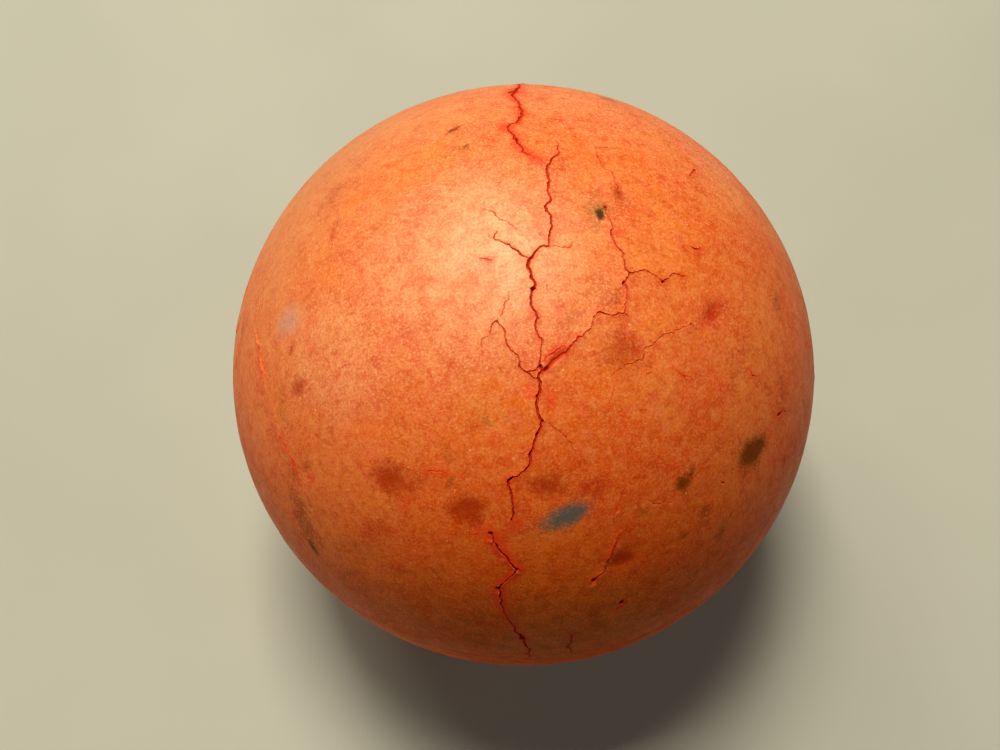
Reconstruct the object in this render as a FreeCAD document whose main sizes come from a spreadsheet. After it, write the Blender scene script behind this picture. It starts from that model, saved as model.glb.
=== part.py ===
# Croquet ball in millimetres: a composition core inside a hard casing moulded in two halves.
# The origin is the ball's centre. The casing halves meet at the plane z = 0, and +Z points to the
# middle of the upper half.

import FreeCAD, Part
import os
import Sketcher

SHEET_NAME = "dimensions"
FULL_TURN = 360

# Point numbers that a sketch constraint takes: a curve's ends and an arc's centre.
START = 1
END = 2
CENTRE = 3
# Geometry numbers of the sketch's own two axes. The root point is the first axis's start.
X_AXIS = -1
Y_AXIS = -2


def add_sheet(doc):
    """The driving dimensions, each in a cell with an alias."""
    rows = [
        ("ball_diameter", 92.1),  # outside, 3 5/8 in
        ("casing_thickness", 6.0),  # wall of the moulded casing
        ("bond_gap", 0.02),  # glue line between the core and the casing
        ("step_height", 2.5),  # how far the lower half's tongue rises into the upper half
        ("step_radius", 43.2),  # radius of the upright face of the step
        ("seam_chamfer", 0.12),  # relief on each half's outer edge at the seam
    ]
    sheet = doc.addObject("Spreadsheet::Sheet", SHEET_NAME)
    for number, (alias, value) in enumerate(rows, start=1):
        sheet.set(f"A{number}", alias)
        sheet.set(f"B{number}", str(value))
        sheet.setAlias(f"B{number}", alias)
    doc.recompute()
    return sheet


def origin_feature(body, role):
    """One of the body's own base planes or axes."""
    for feature in body.Origin.OriginFeatures:
        if feature.Role == role:
            return feature
    raise RuntimeError(f"{body.Name} has no origin feature {role}")


def add_body(doc, label):
    """An empty body at the ball's centre, with a sketch on its upright XZ plane."""
    body = doc.addObject("PartDesign::Body", f"{label}_body")
    body.Label = label
    body.Placement = FreeCAD.Placement()
    sketch = body.newObject("Sketcher::SketchObject", f"{label}_profile")
    sketch.AttachmentSupport = [(origin_feature(body, "XZ_Plane"), "")]
    sketch.MapMode = "FlatFace"
    return body, sketch


def line(x_start, y_start, x_end, y_end):
    return Part.LineSegment(FreeCAD.Vector(x_start, y_start, 0), FreeCAD.Vector(x_end, y_end, 0))


def arc(radius, first_point, last_point):
    """The arc about the origin that runs anticlockwise from one point to the other."""
    circle = Part.Circle(FreeCAD.Vector(0, 0, 0), FreeCAD.Vector(0, 0, 1), radius)
    first = circle.parameter(FreeCAD.Vector(*first_point, 0))
    last = circle.parameter(FreeCAD.Vector(*last_point, 0))
    if last <= first:
        last += circle.LastParameter
    return Part.ArcOfCircle(circle, first, last)


def bind(sketch, constraint, name, expression):
    """Adds a constraint with a name, and takes its value from the sheet."""
    index = sketch.addConstraint(constraint)
    sketch.renameConstraint(index, name)
    sketch.setExpression(f"Constraints.{name}", expression)


def join(sketch, first, first_end, second, second_end):
    sketch.addConstraint(Sketcher.Constraint("Coincident", first, first_end, second, second_end))


def put_on(sketch, curve, end, axis):
    sketch.addConstraint(Sketcher.Constraint("PointOnObject", curve, end, axis))


def centre_at_origin(sketch, curve):
    join(sketch, curve, CENTRE, X_AXIS, START)


def revolve(body, sketch, label):
    """Turns the profile a full turn about the upright axis."""
    body.Document.recompute()
    solid = body.newObject("PartDesign::Revolution", f"{label}_revolution")
    solid.Profile = sketch
    solid.ReferenceAxis = (sketch, ["V_Axis"])
    solid.Angle = FULL_TURN
    body.Document.recompute()
    return solid


def lies_on_rim(edge, radius, tolerance):
    """Whether an edge is the level circle of this radius at the seam plane."""
    same_radius = abs(edge.Curve.Radius - radius) < tolerance
    return same_radius and edge.BoundBox.ZLength < tolerance


def relieve_seam(body, solid, sheet, label):
    """A small chamfer round the outer edge, the witness line of the joint."""
    outer_radius = sheet.ball_diameter / 2
    tolerance = sheet.seam_chamfer / 10
    for number, edge in enumerate(solid.Shape.Edges, start=1):
        is_circle = not edge.Degenerated and isinstance(edge.Curve, Part.Circle)
        if is_circle and lies_on_rim(edge, outer_radius, tolerance):
            chamfer = body.newObject("PartDesign::Chamfer", f"{label}_chamfer")
            chamfer.Base = (solid, [f"Edge{number}"])
            chamfer.setExpression("Size", f"{SHEET_NAME}.seam_chamfer")
            body.Tip = chamfer
            body.Document.recompute()
            return
    raise RuntimeError(f"{label} has no outer edge at the seam")


def add_casing_half(doc, sheet, label, side):
    """Half the casing. side is 1 for the upper half and -1 for the lower half.

    The step at the seam is the same in both: the lower half's tongue fills the upper half's rebate.
    """
    body, sketch = add_body(doc, label)
    outer = sheet.ball_diameter / 2
    inner = outer - sheet.casing_thickness
    step = sheet.step_radius
    height = sheet.step_height
    tongue = (inner**2 - height**2) ** 0.5

    outer_pole = (0, side * outer)
    inner_pole = (0, side * inner)
    outer_rim = (outer, 0)
    inner_rim = (tongue, height)
    if side > 0:
        outer_arc = arc(outer, outer_rim, outer_pole)
        inner_arc = arc(inner, inner_rim, inner_pole)
        rim_end, pole_end = START, END
    else:
        outer_arc = arc(outer, outer_pole, outer_rim)
        inner_arc = arc(inner, inner_pole, inner_rim)
        rim_end, pole_end = END, START

    outside = sketch.addGeometry(outer_arc)
    pole_wall = sketch.addGeometry(line(*outer_pole, *inner_pole))
    inside = sketch.addGeometry(inner_arc)
    step_top = sketch.addGeometry(line(*inner_rim, step, height))
    step_side = sketch.addGeometry(line(step, height, step, 0))
    seam_face = sketch.addGeometry(line(step, 0, *outer_rim))

    centre_at_origin(sketch, outside)
    centre_at_origin(sketch, inside)
    put_on(sketch, outside, pole_end, Y_AXIS)
    put_on(sketch, outside, rim_end, X_AXIS)
    put_on(sketch, inside, pole_end, Y_AXIS)
    put_on(sketch, step_side, END, X_AXIS)
    join(sketch, outside, pole_end, pole_wall, START)
    join(sketch, pole_wall, END, inside, pole_end)
    join(sketch, inside, rim_end, step_top, START)
    join(sketch, step_top, END, step_side, START)
    join(sketch, step_side, END, seam_face, START)
    join(sketch, seam_face, END, outside, rim_end)
    sketch.addConstraint(Sketcher.Constraint("Horizontal", step_top))
    sketch.addConstraint(Sketcher.Constraint("Vertical", step_side))

    bind(
        sketch,
        Sketcher.Constraint("Radius", outside, outer),
        "outer_radius",
        f"{SHEET_NAME}.ball_diameter / 2",
    )
    bind(
        sketch,
        Sketcher.Constraint("Radius", inside, inner),
        "inner_radius",
        f"{SHEET_NAME}.ball_diameter / 2 - {SHEET_NAME}.casing_thickness",
    )
    bind(
        sketch,
        Sketcher.Constraint("DistanceX", X_AXIS, START, step_side, END, step),
        "step_radius",
        f"{SHEET_NAME}.step_radius",
    )
    bind(
        sketch,
        Sketcher.Constraint("DistanceY", step_side, END, step_side, START, height),
        "step_height",
        f"{SHEET_NAME}.step_height",
    )

    solid = revolve(body, sketch, label)
    relieve_seam(body, solid, sheet, label)
    return body


def add_core(doc, sheet):
    """The solid composition ball that fills the casing."""
    label = "core"
    body, sketch = add_body(doc, label)
    radius = sheet.ball_diameter / 2 - sheet.casing_thickness - sheet.bond_gap
    outside = sketch.addGeometry(arc(radius, (0, -radius), (0, radius)))
    axis_line = sketch.addGeometry(line(0, radius, 0, -radius))
    centre_at_origin(sketch, outside)
    put_on(sketch, outside, START, Y_AXIS)
    join(sketch, outside, END, axis_line, START)
    join(sketch, axis_line, END, outside, START)
    sketch.addConstraint(Sketcher.Constraint("Vertical", axis_line))
    bind(
        sketch,
        Sketcher.Constraint("Radius", outside, radius),
        "core_radius",
        f"{SHEET_NAME}.ball_diameter / 2 - {SHEET_NAME}.casing_thickness - {SHEET_NAME}.bond_gap",
    )
    revolve(body, sketch, label)
    return body


def check_document(doc, bodies):
    """Stops if anything failed to compute."""
    for item in doc.Objects:
        if "Invalid" in item.State or "Error" in item.State:
            raise RuntimeError(f"{item.Name} failed: {item.State}")
    for body in bodies:
        if body.Shape.isNull() or not body.Shape.isValid():
            raise RuntimeError(f"{body.Label} has no valid shape")
        if len(body.Shape.Solids) != 1:
            raise RuntimeError(f"{body.Label} isn't one solid")


def check_fit(bodies):
    """Stops if two pieces overlap."""
    most_overlap = 0.01
    for number, body in enumerate(bodies):
        for other in bodies[number + 1:]:
            overlap = body.Shape.common(other.Shape).Volume
            if overlap > most_overlap:
                raise RuntimeError(f"{body.Label} overlaps {other.Label} by {overlap:.3f} mm3")


def main():
    doc = FreeCAD.newDocument("croquet_ball")
    sheet = add_sheet(doc)
    bodies = [
        add_core(doc, sheet),
        add_casing_half(doc, sheet, "casing_upper_half", 1),
        add_casing_half(doc, sheet, "casing_lower_half", -1),
    ]
    doc.recompute()
    check_document(doc, bodies)
    check_fit(bodies)

    os.makedirs("parts", exist_ok=True)
    for body in bodies:
        body.Shape.exportStep(f"parts/{body.Label}.step")
        box = body.Shape.optimalBoundingBox()
        size = f"{box.XLength:.2f} x {box.YLength:.2f} x {box.ZLength:.2f} mm"
        print(f"{body.Label}: {size}, {body.Shape.Volume / 1000:.2f} cm3")


main()
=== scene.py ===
import itertools
import math
from typing import NamedTuple

import bpy
import numpy as np
from mathutils import Matrix, Vector


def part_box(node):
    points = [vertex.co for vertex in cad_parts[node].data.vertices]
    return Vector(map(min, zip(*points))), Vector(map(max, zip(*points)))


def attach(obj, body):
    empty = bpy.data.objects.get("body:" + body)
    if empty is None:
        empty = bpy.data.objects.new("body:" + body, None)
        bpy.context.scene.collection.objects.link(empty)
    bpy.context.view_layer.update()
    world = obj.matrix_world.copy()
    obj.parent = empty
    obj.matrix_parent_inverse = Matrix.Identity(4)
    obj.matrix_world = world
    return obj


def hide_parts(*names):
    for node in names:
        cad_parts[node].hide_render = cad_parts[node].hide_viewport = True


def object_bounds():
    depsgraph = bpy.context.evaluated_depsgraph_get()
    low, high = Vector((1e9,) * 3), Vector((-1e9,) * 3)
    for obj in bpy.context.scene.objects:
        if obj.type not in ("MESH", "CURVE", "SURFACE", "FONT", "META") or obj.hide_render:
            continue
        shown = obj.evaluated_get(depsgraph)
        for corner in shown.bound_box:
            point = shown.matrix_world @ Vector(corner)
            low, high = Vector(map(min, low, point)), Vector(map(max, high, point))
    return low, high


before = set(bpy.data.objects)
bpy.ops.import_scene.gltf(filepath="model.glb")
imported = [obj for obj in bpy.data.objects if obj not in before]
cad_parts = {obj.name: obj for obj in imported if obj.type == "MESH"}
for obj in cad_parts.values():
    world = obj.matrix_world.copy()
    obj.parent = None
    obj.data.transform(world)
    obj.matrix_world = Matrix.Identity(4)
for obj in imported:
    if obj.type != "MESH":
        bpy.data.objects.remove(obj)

CAD_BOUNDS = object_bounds()

# Lengths in this script are in millimetres until a mesh is made, and directions are unit vectors
# from the ball's centre.
MM = 0.001

CASING_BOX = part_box("casing_upper_half")
LOWER_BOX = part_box("casing_lower_half")
CORE_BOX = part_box("core")
BALL_RADIUS = CASING_BOX[1].z / MM
CORE_RADIUS = CORE_BOX[1].z / MM
BOND_GAP = 0.02
INNER_RADIUS = CORE_RADIUS + BOND_GAP
# The step where the two halves meet. Its radius is the one in the CAD part.
STEP_HEIGHT = LOWER_BOX[1].z / MM
STEP_RADIUS = 43.2

# Each face of the ball is an azimuth and an elevation in degrees. Azimuth 0 looks along +Y. Marks
# are placed on a face in degrees to the right of its middle and up from it.
WORN = (0, 65)
BACK = (180, 10)
LEFT = (-90, 0)
RIGHT = (90, -5)
UNDER = (0, -60)


# ---------------------------------------------------------------- what is on the surface


class Crack(NamedTuple):
    """An open crack. route holds (right, up, opening in mm) points."""

    face: tuple
    depth: float  # at the middle of the opening, mm
    route: list
    lip: float = 0.07  # how far its edges stand proud, mm
    halo: float = 0.5  # how strongly its edges are reddened


class Hairline(NamedTuple):
    """A fine crack with one opening all along. route holds (right, up) points."""

    face: tuple
    opening: float
    depth: float
    route: list
    halo: float = 0.35


class Hollow(NamedTuple):
    """A pit or a dent, or a bump where depth is negative, turned by tilt degrees from level.
    Its size and depth are in mm."""

    face: tuple
    right: float
    up: float
    half_length: float
    half_width: float
    tilt: float
    depth: float


class Stain(NamedTuple):
    """A soft-edged patch of one of the STAIN_KINDS, with its size in mm."""

    face: tuple
    kind: str
    right: float
    up: float
    half_length: float
    half_width: float
    tilt: float
    strength: float


def marks(face, shape, rows):
    """A mark of the given shape on a face for each row of its other values."""
    return [shape(face, *row) for row in rows]


def stains(face, kind, rows):
    """A stain of the given kind on a face for each row of its other values."""
    return [Stain(face, kind, *row) for row in rows]


CRACKS = [
    # From over the top down to the fork left of the upper crack.
    Crack(WORN, 0.8, [
        (1.5, 84, 0.4), (0.2, 77, 0.5), (-1.2, 71, 0.6), (-3.2, 67, 0.8), (-4, 64.2, 0.9),
        (-2.4, 59.5, 0.5), (-1, 55.5, 0.6), (0, 52, 0.7), (-1.5, 49.3, 0.35), (-3.8, 48, 0.4),
        (-2.9, 46.2, 0.5), (-1.6, 44.3, 0.7), (-0.8, 42.8, 0.5), (0, 40.8, 0.4),
        (1.7, 40.1, 0.15), (3.6, 38.6, 0.1),
    ], lip=0.12, halo=1.3),
    # The long crack, from the top to the lower middle.
    Crack(WORN, 2.2, [
        (8.1, 43.9, 0.16), (8, 42, 0.3), (7.6, 39.9, 0.4), (6, 38.2, 0.45), (5, 36.4, 0.5),
        (5.1, 34.9, 0.62), (5.4, 33.8, 0.5), (5.1, 32.6, 0.58), (5, 31, 0.4), (5.4, 30, 0.55),
        (4.5, 28.9, 0.5), (4.2, 28.3, 0.6), (4.9, 27, 0.52), (5.2, 25.8, 0.46),
        (5.3, 24.7, 0.46), (4.8, 23.4, 0.42), (4.6, 21.9, 0.4), (4.6, 21, 0.3),
    ]),
    Crack(WORN, 2.2, [
        (4.6, 21, 0.28), (3.6, 21.1, 0.35), (2.6, 20.4, 0.4), (1.9, 19.5, 0.5), (1.3, 18.8, 0.65),
        (1, 18, 0.75), (0.9, 17.4, 0.62), (1.4, 16.5, 0.56), (1.7, 15.3, 0.56),
        (2.1, 14.3, 0.66), (1.8, 13.8, 0.72), (1.5, 13, 0.42), (1.4, 11.5, 0.46),
        (1.6, 10.7, 0.4), (2.1, 10, 0.4), (2.5, 9, 0.46), (2.1, 8.1, 0.4), (2.1, 7.5, 0.42),
        (2.3, 6.7, 0.36), (2.6, 5.9, 0.3), (3.2, 5.5, 0.36), (3, 4.4, 0.32), (2.9, 3.5, 0.32),
        (2.8, 2.3, 0.34), (2.8, 1.5, 0.6), (3.1, 0.6, 0.7), (2.5, -0.4, 0.55),
        (2.9, -1.2, 0.62), (2.8, -2.3, 0.74), (2.3, -3.3, 0.8), (2.2, -4.4, 0.62),
        (2.4, -5.5, 0.74), (2.7, -6.5, 0.72), (3.2, -7.2, 0.79), (2.9, -8.4, 0.7),
        (2.3, -9.4, 0.74), (2, -10.4, 0.67), (1.8, -11.3, 0.48), (1.4, -12.1, 0.6),
        (1.3, -13.2, 0.65), (1.3, -14, 0.65), (0.7, -14.9, 0.55), (-0.1, -15.6, 0.43),
        (-1.3, -16.4, 0.6), (-2.4, -17.2, 0.72), (-2.3, -18, 0.55), (-1.9, -19.1, 0.53),
        (-1.7, -20.5, 0.5), (-1.5, -21.8, 0.48), (-1.6, -23.4, 0.53), (-1.9, -24.1, 0.6),
    ], lip=0.09, halo=0.6),
    # Below a gap it goes on to the lower edge.
    Crack(WORN, 1.6, [
        (-5.8, -26.5, 0.6), (-5.3, -28.2, 0.36), (-4.6, -29.4, 0.66), (-3.6, -30.6, 0.66),
        (-2.7, -31.8, 0.6), (-1.9, -33, 0.66), (-0.9, -33.9, 0.72), (-2.2, -35.5, 0.36),
        (-3.3, -36.6, 0.38), (-4.5, -37.7, 0.6), (-5.1, -38.4, 0.72), (-4.9, -40.3, 0.54),
        (-4.9, -42.1, 0.6), (-4.3, -44, 0.36), (-3.9, -46, 0.3), (-2.9, -47.7, 0.36),
        (-2.1, -49.4, 0.36), (-0.8, -51.8, 0.6), (0, -53.3, 0.72), (1.1, -56.8, 0.48),
        (2.7, -58.7, 0.36), (1.5, -61, 0.3), (3.2, -63, 0.3), (1.8, -65.4, 0.19),
    ], lip=0.08, halo=1.3),
    # The wide branch to the right of the fork.
    Crack(WORN, 0.24, [
        (3.1, 0.5, 0.9), (3.9, 1.1, 1.0), (4.7, 2, 0.8), (5.6, 2.7, 0.7), (6.9, 3.4, 0.8),
        (7.6, 4.5, 0.55), (8.2, 5.2, 0.45), (8.9, 6, 0.55), (9.6, 6.1, 0.35), (10.1, 6.8, 0.3),
        (10.9, 7.3, 0.3), (11.3, 8.5, 0.16), (12.1, 9.9, 0.22), (13, 9.9, 0.34),
        (13.8, 9.7, 0.3), (14.6, 9.5, 0.12), (15.3, 9.6, 0.4), (15.8, 9.9, 0.35),
        (16.7, 9.9, 0.28),
    ], lip=0.1, halo=0.55),
    Crack(WORN, 1.0, [
        (16.7, 9.9, 0.34), (16.9, 11.3, 0.32), (17.4, 12, 0.3), (17.4, 12.7, 0.36),
        (17.5, 13.7, 0.38), (17.3, 14.6, 0.24),
    ]),
    Crack(WORN, 1.2, [
        (17, 14.9, 0.5), (17.7, 15.7, 0.42), (18.2, 16.6, 0.42), (17.5, 17.5, 0.42),
        (17.6, 18.7, 0.34), (17.6, 19.9, 0.36), (17.1, 20.6, 0.32), (16.5, 21.3, 0.34),
        (16.1, 22.4, 0.3), (15.9, 23.9, 0.42), (16.4, 24.7, 0.32), (16.2, 25.8, 0.3),
        (15.8, 26.7, 0.26), (15.6, 27.7, 0.2), (15.6, 28.6, 0.4),
    ]),
    Crack(WORN, 1.0, [
        (18.2, 16.6, 0.45), (18.8, 16.6, 0.3), (19.8, 16.8, 0.3), (20.6, 17.1, 0.32),
        (21.2, 17.2, 0.28), (21.9, 16.9, 0.34), (22.8, 16.4, 0.26), (23.6, 15.9, 0.22),
        (24.4, 15.3, 0.42), (25.1, 15.7, 0.34), (25.7, 15.9, 0.28), (26.3, 16.6, 0.3),
        (27.2, 16.7, 0.26), (29.3, 16.4, 0.12),
    ]),
    # The curved branch to the left of the fork, and the ring at the fork.
    Crack(WORN, 1.2, [
        (2.5, -0.5, 0.3), (1.6, -0.4, 0.34), (0.9, 0.3, 0.4), (0.1, 0.8, 0.34),
        (-0.5, 1.4, 0.55), (-0.3, 2, 0.26), (-0.5, 2.6, 0.26), (-1.2, 3.4, 0.26),
        (-1.9, 4, 0.24), (-2.5, 4.9, 0.28), (-2.7, 6, 0.24), (-2.7, 6.9, 0.3),
        (-3.3, 7.7, 0.28), (-4, 8.5, 0.42), (-4.6, 8.2, 0.34), (-4.9, 7.7, 0.34),
        (-5, 6.8, 0.16), (-5.6, 6, 0.12),
    ], halo=0.4),
    Crack(WORN, 0.7, [
        (0.8, 0.5, 0.3), (1.5, 0.6, 0.4), (2.3, 0.9, 0.34), (2.8, 1.5, 0.4),
    ], halo=1.0),
    # The branch to the upper left.
    Crack(WORN, 1.0, [
        (0.9, 18.9, 0.28), (0.3, 19.2, 0.28), (-0.3, 19.6, 0.5), (-1.2, 20.4, 0.34),
        (-2.2, 21.3, 0.34), (-3.2, 21.6, 0.24), (-4.6, 22.1, 0.26), (-5, 22.5, 0.36),
        (-4.4, 23.7, 0.22),
    ], halo=0.2),
    # The open lip at the lower right.
    Crack(WORN, 1.2, [
        (18.1, -26.9, 0.22), (17.9, -28.2, 0.2), (17.7, -29.5, 0.45), (17.5, -30.3, 0.4),
        (16.9, -32.2, 0.45), (16.8, -33.8, 0.25), (16.9, -35, 0.5), (15.9, -35.6, 0.6),
        (15, -36.6, 0.95),
    ], lip=0.1, halo=0.6),
    Crack(WORN, 0.8, [(31.6, 21.9, 0.2), (32.5, 21.4, 0.55), (33.8, 21.7, 0.25)], halo=0.6),
    Crack(WORN, 0.35, [
        (44, 45, 0.2), (44.3, 40.6, 0.3), (41.6, 38.2, 0.42), (39.5, 37.2, 0.3),
    ], halo=0.5),
    # Where the raised line on the left opens.
    Crack(WORN, 0.9, [
        (-48.7, -10, 0.15), (-47.8, -11.8, 0.4), (-46.2, -13.8, 0.35), (-45.4, -15.2, 0.7),
        (-45.6, -16.4, 0.2),
    ], halo=0.9),
    Crack(WORN, 0.9, [
        (57, -12.5, 0.2), (58.2, -16, 0.3), (59.5, -19.3, 0.35), (58.4, -24, 0.2),
    ], halo=0.3),
    # The back: one long crack with two branches.
    Crack(BACK, 2.0, [
        (-1.5, 21, 0.4), (-5, 19.5, 0.5), (-9, 17, 0.5), (-12, 13, 0.62), (-11, 8, 0.7), (-14, 3, 0.5),
        (-13, -3, 0.55), (-16.5, -8, 0.4), (-16, -14, 0.45), (-20, -19, 0.3), (-21, -25, 0.16),
    ], lip=0.09, halo=0.6),
    Crack(BACK, 1.3, [
        (-11, 8, 0.6), (-6.5, 6.5, 0.5), (-3, 9, 0.4), (2, 8, 0.45), (5.5, 10.5, 0.3),
        (10, 9.5, 0.3), (14, 12.5, 0.2),
    ], halo=0.5),
    Crack(BACK, 1.1, [
        (-9, 17, 0.5), (-14, 19, 0.35), (-18, 17, 0.3), (-22, 20, 0.3), (-27, 19.5, 0.14),
    ], halo=0.4),
    Crack(BACK, 1.4, [
        (24, -6, 0.2), (27, -10, 0.45), (26, -15, 0.5), (30, -19, 0.4), (31, -25, 0.3),
        (35, -30, 0.16),
    ], halo=0.7),
    # The sides and the underside.
    Crack(LEFT, 1.5, [
        (-22, 14, 0.2), (-18, 11, 0.35), (-15, 12, 0.4), (-10, 8, 0.5), (-6, 8.5, 0.45),
        (-2, 4, 0.4), (-1, -1, 0.5), (3, -5, 0.35), (4, -11, 0.3), (8, -15, 0.14),
    ], halo=0.6),
    Crack(LEFT, 0.9, [(-6, 8.5, 0.4), (-5, 13, 0.3), (-1.5, 17, 0.3), (-1, 22, 0.12)]),
    Crack(RIGHT, 1.6, [
        (-6, 30, 0.14), (-4, 24, 0.35), (-7, 19, 0.45), (-5, 13, 0.4), (-8, 8, 0.5),
        (-7, 2, 0.6), (-3, -3, 0.45), (-4, -9, 0.4), (0, -14, 0.3), (-1, -20, 0.14),
    ], halo=0.6),
    Crack(RIGHT, 1.0, [(-7, 2, 0.5), (-13, 0, 0.35), (-17, 3, 0.3), (-23, 1, 0.12)]),
    Crack(UNDER, 1.5, [
        (14, 10, 0.16), (10, 6, 0.4), (6, 7, 0.45), (1, 2, 0.5), (-4, 2.5, 0.4), (-8, -3, 0.45),
        (-13, -4, 0.3), (-17, -9, 0.14),
    ], halo=0.6),
    Crack(UNDER, 1.0, [(1, 2, 0.4), (2, -4, 0.35), (-1, -9, 0.3), (1, -15, 0.12)]),
]

WORN_HAIRLINES = [
    # Around the long crack's upper half.
    (0.25, 0.5, [
        (-7.6, 29), (-6.3, 27.7), (-4.3, 26.3), (-2.8, 25.8), (-1.6, 24.8), (-0.1, 23.9),
    ]),
    (0.28, 0.6, [(4.6, 21), (5.7, 21.1), (7.2, 20.9), (8.3, 20.9), (8.7, 21.8)]),
    (0.2, 0.4, [(-1.3, 20.7), (-0.8, 21.7)]),
    (0.3, 0.25, [(-7.3, 19.1), (-6, 18.8), (-4.9, 18.7)], 0.9),
    (0.16, 0.3, [(3.6, 15.8), (4, 14.4), (4.5, 12.6)]),
    # Off the left branch.
    (0.22, 0.5, [
        (-4, 8.5), (-3.5, 9.2), (-3.1, 10.3), (-2.9, 11.2), (-2.1, 12.2), (-2.2, 13.6),
    ]),
    (0.26, 0.35, [(-5.6, 6), (-6.4, 5.6), (-6.5, 4.8), (-6.3, 3.4)], 0.8),
    (0.16, 0.3, [(-8.2, 11.1), (-7.4, 10.2)]),
    # Right of the long crack.
    (0.2, 0.5, [(10.9, 7.3), (11.1, 8), (11.8, 8.9)]),
    (0.24, 0.5, [(16.7, 9.9), (17.2, 9.5), (17.7, 9)]),
    (0.2, 0.4, [(16.9, 27.6), (17.2, 26.2), (16.6, 24.9)]),
    (0.24, 0.4, [(15.9, 23.9), (17.1, 23.8)], 0.7),
    (0.26, 0.6, [
        (14.4, -0.2), (15.3, 0.6), (16.8, 1.7), (18.4, 2.1), (19.5, 2.3), (20, 3.4), (20.1, 4.4),
        (21.5, 4.8), (22.1, 5.4), (24, 6.6), (25.1, 6.8), (26.5, 7.3), (28.1, 7.9), (28.9, 8.3),
    ], 0.35),
    (0.2, 0.35, [(28.9, 8.2), (29.9, 7.5), (31.4, 6.8)], 0.3),
    (0.2, 0.35, [(15, -1.6), (14.5, -2.8), (14, -4.1), (13.8, -6)]),
    (0.2, 0.35, [(24.7, 1.4), (26.2, 0.4), (27.3, -0.3), (28.3, -0.4)], 0.4),
    (0.2, 0.3, [(19.8, 0.6), (20.6, 0.2), (21.5, 0.4)], 0.4),
    (0.24, 0.5, [
        (3.2, -7.2), (4.4, -7.7), (5.5, -8.6), (6.8, -9.6), (7.6, -10.6), (8.4, -12), (9.7, -12.6),
    ], 0.3),
    (0.2, 0.4, [(1.4, -3), (0.9, -3.3)], 0.6),
    (0.26, 0.25, [(2.9, 1.9), (4.1, 3.1), (5.5, 4), (6.9, 4.6)], 0.9),
    # The lower right.
    (0.24, 0.4, [
        (17.8, -18.4), (17.3, -19.6), (17, -21.2), (16.8, -22.4), (16.3, -23.9),
    ], 0.4),
    (0.24, 0.3, [(22.5, -20.9), (24, -21.6), (26, -21.2), (27.4, -21.6)], 0.3),
    (0.4, 0.6, [(13.8, -51.8), (15.9, -55.8), (15.3, -58.3), (20, -62)], 1.0),
    (0.4, 0.6, [(23.9, -42.8), (23.6, -44.9)], 1.0),
    # The raised line on the left.
    (2.2, -0.3, [
        (-50, 37), (-53.5, 32), (-56.5, 28), (-55.8, 23.7), (-57.6, 17.3), (-57.8, 12.5),
        (-57.9, 8.2),
    ], 0.3),
    (2.2, -0.5, [
        (-57.9, 8.2), (-54, 5.2), (-51.7, -2), (-49.5, -6.8), (-48.8, -9.9), (-48, -11.7),
        (-46, -13.8),
    ], 0.55),
    # The left.
    (0.2, 0.4, [(-32.6, 0), (-31.6, 1), (-30.1, 1.6), (-27.8, 2)], 0.4),
    (0.16, 0.3, [(-27, 1), (-26, -0.5)]),
    (0.24, 0.4, [(-16.5, -15.6), (-14.5, -15.7), (-12.2, -16)], 0.6),
    (0.16, 0.3, [(-19.8, -2.7), (-18.5, -3.7)]),
    # The upper right.
    (0.26, 0.3, [(12.4, 47), (13.4, 44.6), (13.4, 42.3)], 0.4),
    (0.36, 0.3, [(17.2, 42.4), (16.9, 40), (16.9, 38)], 0.3),
    (0.34, 0.3, [(17.2, 42.4), (20, 42.7), (22.5, 42.8), (26, 41.9)], 0.35),
    (0.36, 0.4, [(16.7, 38.3), (19, 36.2), (19.4, 33), (19, 31)], 0.3),
    (0.24, 0.4, [(41.6, 38.2), (43.5, 38)], 0.6),
    (0.3, 0.4, [(34.8, 35.9), (34, 34.2)], 0.6),
    (0.24, 0.4, [(38.4, 4.6), (39.2, 3.8), (39.8, 2.4)], 0.5),
    (0.34, 0.5, [(41.4, 1), (42.3, 0), (44.2, -0.1)], 0.8),
    (0.3, 0.3, [(51.8, -6.8), (53.2, -6.1), (54.6, -6.6)], 0.3),
]

HAIRLINES = [
    *marks(WORN, Hairline, WORN_HAIRLINES),
    Hairline(BACK, 0.24, 0.4, [(-13, -3), (-8, -6), (-5, -5.5), (-1, -9), (2, -9)], 0.4),
    Hairline(BACK, 0.22, 0.4, [(5.5, 10.5), (7, 15), (6, 19), (9, 23)], 0.3),
    Hairline(BACK, 0.24, 0.4, [(27, -10), (22, -12), (19, -16), (14, -17)], 0.4),
    Hairline(BACK, 0.2, 0.3, [(30, 20), (33, 24), (32, 28), (36, 31)], 0.3),
    Hairline(BACK, 0.2, 0.3, [(-34, -6), (-30, -8), (-28, -12)], 0.4),
    Hairline(BACK, 0.22, 0.4, [(-2, -28), (2, -30), (3, -34), (8, -36)], 0.5),
    Hairline(LEFT, 0.24, 0.4, [(-1, -1), (-6, -4), (-8, -8), (-13, -10)], 0.4),
    Hairline(LEFT, 0.2, 0.3, [(14, 18), (17, 15), (21, 15.5), (24, 12)], 0.4),
    Hairline(LEFT, 0.2, 0.3, [(12, -24), (9, -28), (11, -33)], 0.4),
    Hairline(RIGHT, 0.24, 0.4, [(-3, -3), (2, -2), (5, -5), (10, -4), (13, -8)], 0.4),
    Hairline(RIGHT, 0.2, 0.3, [(10, 22), (14, 19), (15, 14), (19, 12)], 0.3),
    Hairline(RIGHT, 0.2, 0.3, [(16, -24), (13, -28), (15, -33)], 0.4),
    Hairline(UNDER, 0.24, 0.4, [(-8, -3), (-9, 3), (-13, 6), (-13, 11)], 0.4),
    Hairline(UNDER, 0.2, 0.3, [(16, -8), (20, -11), (20, -16), (25, -18)], 0.4),
]

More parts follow.
